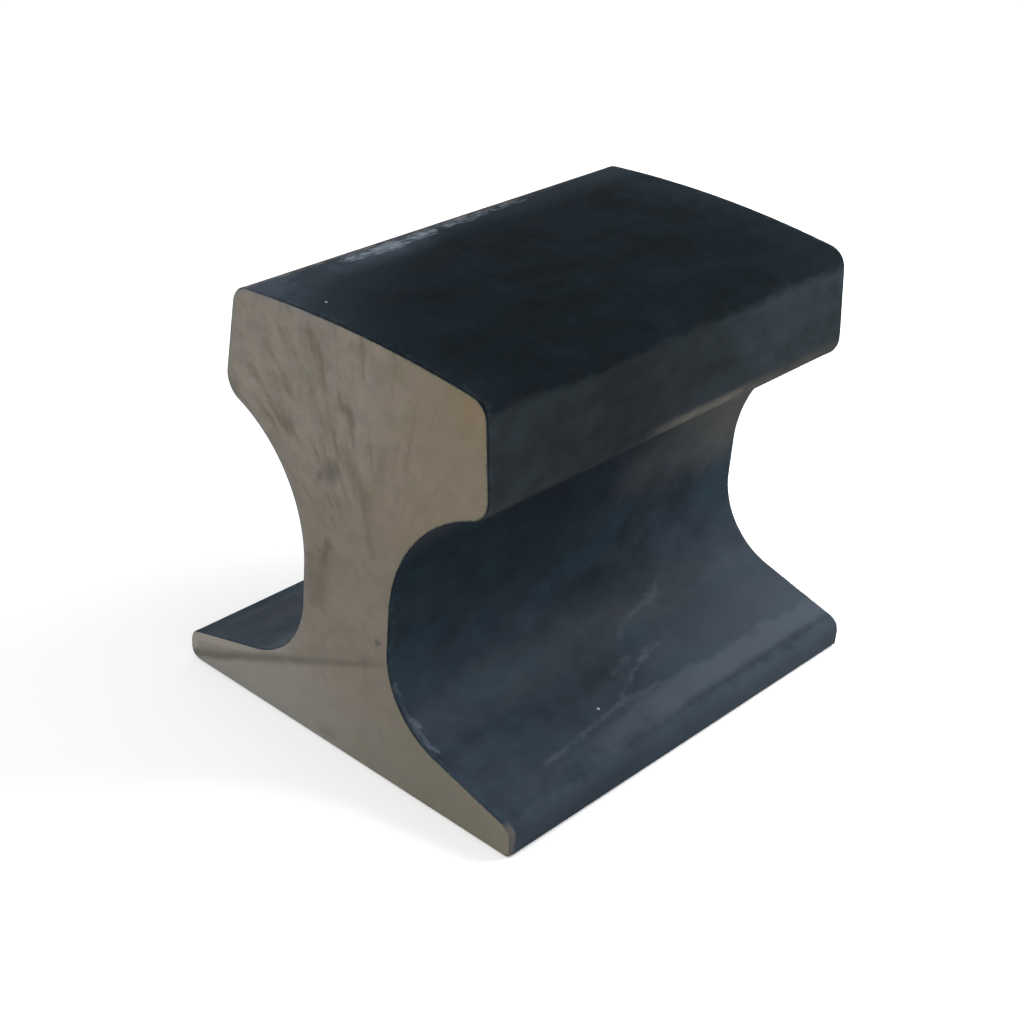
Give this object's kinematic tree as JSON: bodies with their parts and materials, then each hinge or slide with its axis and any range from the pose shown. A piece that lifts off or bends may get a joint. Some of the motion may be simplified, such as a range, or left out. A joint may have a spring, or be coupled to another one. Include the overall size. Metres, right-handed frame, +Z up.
{
  "type": "crane rail",
  "caption": "Short sawn length of flat-bottomed crane rail with a wide crowned head, thick hollow-sided web and broad sloped foot; carries crane wheels.",
  "frame": {"origin": "middle of the foot's underside", "axes": "+Y along the rail, +Z up from the foot to the running surface, +X across the rail"},
  "size_m": [0.17, 0.2, 0.17],
  "materials": {
    "rail_steel": "satin"
  },
  "bodies": {
    "root": {"crane_rail": "rail_steel"}
  },
  "joints": []
}
